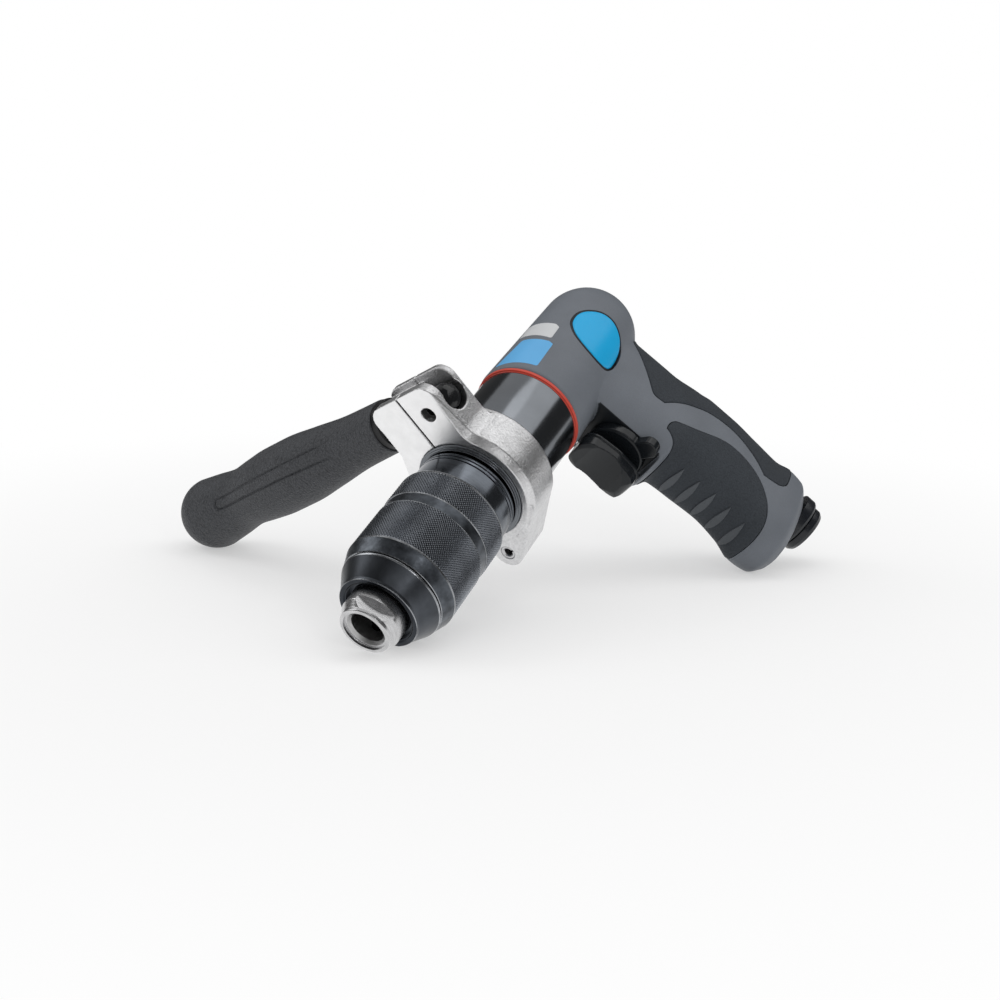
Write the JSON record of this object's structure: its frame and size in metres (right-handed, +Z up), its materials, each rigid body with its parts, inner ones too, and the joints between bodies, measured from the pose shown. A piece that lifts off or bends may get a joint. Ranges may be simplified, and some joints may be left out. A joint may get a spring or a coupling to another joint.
{
  "type": "air drill",
  "caption": "Reversible pistol-grip air drill with a keyless chuck, planetary gear case, soft grip pads and a clamp-on side handle, lying on its side.",
  "frame": {"origin": "middle of the footprint, on the surface that the drill lies on", "axes": "+Z up, +Y the way the spindle points towards the rear seen from above, +X towards the grip"},
  "size_m": [0.2564, 0.2204, 0.1172],
  "materials": {
    "chuck_steel": "turned and polished steel",
    "black_gloss": "glossy black enamel",
    "black_knurl": "black oxide on fine knurling",
    "gear_steel": "ground gear steel",
    "bearing_steel": "polished bearing steel",
    "motor_iron": "machined cast iron",
    "vane_laminate": "phenolic laminate",
    "housing_grey": "satin glass-filled nylon",
    "soft_charcoal": "soft-touch elastomer",
    "coral_red": "moulded plastic",
    "azure": "bare moulded badge",
    "black_plastic": "moulded nylon",
    "brass": "turned brass",
    "cast_alloy": "bead-blasted die casting",
    "spring_steel": "spring wire",
    "black_steel": "blackened steel",
    "felt": "porous muffler felt"
  },
  "bodies": {
    "frame": {"gear_case": "black_gloss", "ring_gear": "gear_steel", "spindle_bearing": "bearing_steel", "motor_front_plate": "motor_iron", "motor_front_bearing": "bearing_steel", "motor_cylinder": "motor_iron", "motor_rear_plate": "motor_iron", "motor_rear_bearing": "bearing_steel", "housing": "housing_grey", "trim_ring": "coral_red", "badge": "azure", "spine_pad": "soft_charcoal", "grip_pad": "soft_charcoal", "valve_seat": "brass", "valve_spring": "spring_steel", "valve_bushing": "brass", "inlet_bushing": "black_steel", "inlet_screen": "brass", "exhaust_muffler": "felt"},
    "output": {"spindle": "gear_steel", "spindle_pins": "bearing_steel", "chuck_body": "chuck_steel", "nose_cone": "black_gloss", "chuck_collar": "black_gloss", "chuck_screw": "black_steel"},
    "sleeve": {"chuck_sleeve": "black_knurl", "chuck_nut": "gear_steel"},
    "jaw_1": {"jaw_1": "gear_steel"},
    "jaw_2": {"jaw_2": "gear_steel"},
    "jaw_3": {"jaw_3": "gear_steel"},
    "front_planet_1": {"front_planet_1": "gear_steel"},
    "front_planet_2": {"front_planet_2": "gear_steel"},
    "front_planet_3": {"front_planet_3": "gear_steel"},
    "carrier": {"planet_carrier": "gear_steel", "carrier_pins": "bearing_steel"},
    "rear_planet_1": {"rear_planet_1": "gear_steel"},
    "rear_planet_2": {"rear_planet_2": "gear_steel"},
    "rear_planet_3": {"rear_planet_3": "gear_steel"},
    "rotor": {"rotor": "gear_steel", "vanes": "vane_laminate"},
    "trigger": {"trigger": "black_plastic", "trigger_rod": "bearing_steel", "throttle_valve": "brass"},
    "reverse_lever": {"reverse_lever": "black_plastic", "reverse_spool": "brass"},
    "clamp": {"clamp_left": "cast_alloy", "clamp_right": "cast_alloy", "hinge_pin": "spring_steel", "clamp_bolt": "black_steel"},
    "handle": {"side_handle": "black_plastic", "handle_insert": "brass"}
  },
  "joints": [
    {"name": "spindle_spin", "type": "hinge", "parent": "frame", "child": "output", "pos_m": [0.03513, -0.1059, 0.00847], "axis": [0, 0.8826, 0.4701], "continuous": true},
    {"name": "carrier_spin", "type": "hinge", "parent": "frame", "child": "carrier", "pos_m": [0.03513, -0.1059, 0.00847], "axis": [0, 0.8826, 0.4701], "continuous": true},
    {"name": "rotor_spin", "type": "hinge", "parent": "frame", "child": "rotor", "pos_m": [0.03513, -0.1059, 0.00847], "axis": [0, 0.8826, 0.4701], "continuous": true},
    {"name": "front_planet_1_spin", "type": "hinge", "parent": "output", "child": "front_planet_1", "pos_m": [0.04208, -0.02268, 0.06005], "axis": [0, 0.8826, 0.4701], "continuous": true},
    {"name": "front_planet_2_spin", "type": "hinge", "parent": "output", "child": "front_planet_2", "pos_m": [0.02611, -0.02099, 0.05689], "axis": [0, 0.8826, 0.4701], "continuous": true},
    {"name": "front_planet_3_spin", "type": "hinge", "parent": "output", "child": "front_planet_3", "pos_m": [0.0372, -0.01534, 0.04626], "axis": [0, 0.8826, 0.4701], "continuous": true},
    {"name": "rear_planet_1_spin", "type": "hinge", "parent": "carrier", "child": "rear_planet_1", "pos_m": [0.04208, -0.02268, 0.06005], "axis": [0, 0.8826, 0.4701], "continuous": true},
    {"name": "rear_planet_2_spin", "type": "hinge", "parent": "carrier", "child": "rear_planet_2", "pos_m": [0.02611, -0.02099, 0.05689], "axis": [0, 0.8826, 0.4701], "continuous": true},
    {"name": "rear_planet_3_spin", "type": "hinge", "parent": "carrier", "child": "rear_planet_3", "pos_m": [0.0372, -0.01534, 0.04626], "axis": [0, 0.8826, 0.4701], "continuous": true},
    {"name": "sleeve_turn", "type": "hinge", "parent": "output", "child": "sleeve", "pos_m": [0.03513, -0.1059, 0.00847], "axis": [0, 0.8826, 0.4701], "range_deg": [0, 1440]},
    {"name": "jaw_1_slide", "type": "slide", "parent": "output", "child": "jaw_1", "axis": [0.1981, -0.743, -0.6393], "range_m": [0, 0.018]},
    {"name": "jaw_2_slide", "type": "slide", "parent": "output", "child": "jaw_2", "axis": [-0.2853, -0.814, -0.506], "range_m": [0, 0.018]},
    {"name": "jaw_3_slide", "type": "slide", "parent": "output", "child": "jaw_3", "axis": [0.0872, -0.9752, -0.2032], "range_m": [0, 0.018]},
    {"name": "trigger_pull", "type": "slide", "parent": "frame", "child": "trigger", "axis": [0, 0.8826, 0.4701], "range_m": [0, 0.0042], "stiffness_N_per_m": 1500, "springref_m": -0.004, "deforming": ["valve_spring"]},
    {"name": "reverse_turn", "type": "hinge", "parent": "frame", "child": "reverse_lever", "pos_m": [0.06054, 0.03346, 0.05144], "axis": [0, -0.8826, -0.4701], "range_deg": [0, 60]},
    {"name": "clamp_swivel", "type": "hinge", "parent": "frame", "child": "clamp", "pos_m": [0.03513, -0.1059, 0.00847], "axis": [0, 0.8826, 0.4701], "continuous": true},
    {"name": "handle_turn", "type": "hinge", "parent": "clamp", "child": "handle", "pos_m": [-0.00722, -0.03532, 0.06442], "axis": [-0.8858, 0.2181, -0.4096], "range_deg": [-180, 180]}
  ],
  "couplings": [
    {"joint": "carrier_spin", "follows": "spindle_spin", "ratio": 5.4},
    {"joint": "rotor_spin", "follows": "spindle_spin", "ratio": 29.16},
    {"joint": "front_planet_1_spin", "follows": "spindle_spin", "ratio": -2.5882},
    {"joint": "front_planet_2_spin", "follows": "spindle_spin", "ratio": -2.5882},
    {"joint": "front_planet_3_spin", "follows": "spindle_spin", "ratio": -2.5882},
    {"joint": "rear_planet_1_spin", "follows": "spindle_spin", "ratio": -13.976},
    {"joint": "rear_planet_2_spin", "follows": "spindle_spin", "ratio": -13.976},
    {"joint": "rear_planet_3_spin", "follows": "spindle_spin", "ratio": -13.976},
    {"joint": "jaw_1_slide", "follows": "sleeve_turn", "m_per_rad": 0.0007162},
    {"joint": "jaw_2_slide", "follows": "sleeve_turn", "m_per_rad": 0.0007162},
    {"joint": "jaw_3_slide", "follows": "sleeve_turn", "m_per_rad": 0.0007162}
  ]
}
